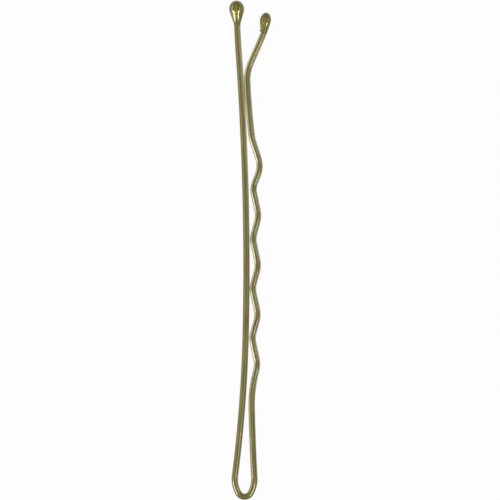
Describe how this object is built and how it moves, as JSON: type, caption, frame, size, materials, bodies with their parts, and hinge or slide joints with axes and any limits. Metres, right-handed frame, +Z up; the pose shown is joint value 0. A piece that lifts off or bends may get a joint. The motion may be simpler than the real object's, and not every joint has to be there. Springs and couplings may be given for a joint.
{
  "type": "bobby pin",
  "caption": "Bobby pin of flat sprung wire folded double: a bowed leg, a crimped leg with a turned-out end, and a resin drop on each tip, for holding hair.",
  "frame": {"origin": "on the surface that the pin lies on, under the middle of its outline", "axes": "+X across the pin from the straight leg to the crimped leg, +Y along it from the closed bend to the open end, +Z up, square to the plane of the pin"},
  "size_m": [0.005, 0.06, 0.0018],
  "materials": {
    "lacquered_wire": "satin olive-bronze lacquer over flat spring steel",
    "resin_drop": "glossy dipped resin in the same olive bronze"
  },
  "bodies": {
    "straight_side": {"straight_leg": "lacquered_wire", "spring_bend": "lacquered_wire", "straight_leg_tip": "resin_drop"},
    "crimped_side": {"crimped_leg": "lacquered_wire", "crimped_leg_tip": "resin_drop"}
  },
  "joints": [
    {"name": "leg_spread", "type": "hinge", "parent": "straight_side", "child": "crimped_side", "pos_m": [-0.00068, -0.02876, 0.00092], "axis": [0, 0, -1], "range_deg": [0, 15], "stiffness_Nm_per_rad": 0.21, "springref_deg": -6.88, "deforming": ["spring_bend"]}
  ]
}
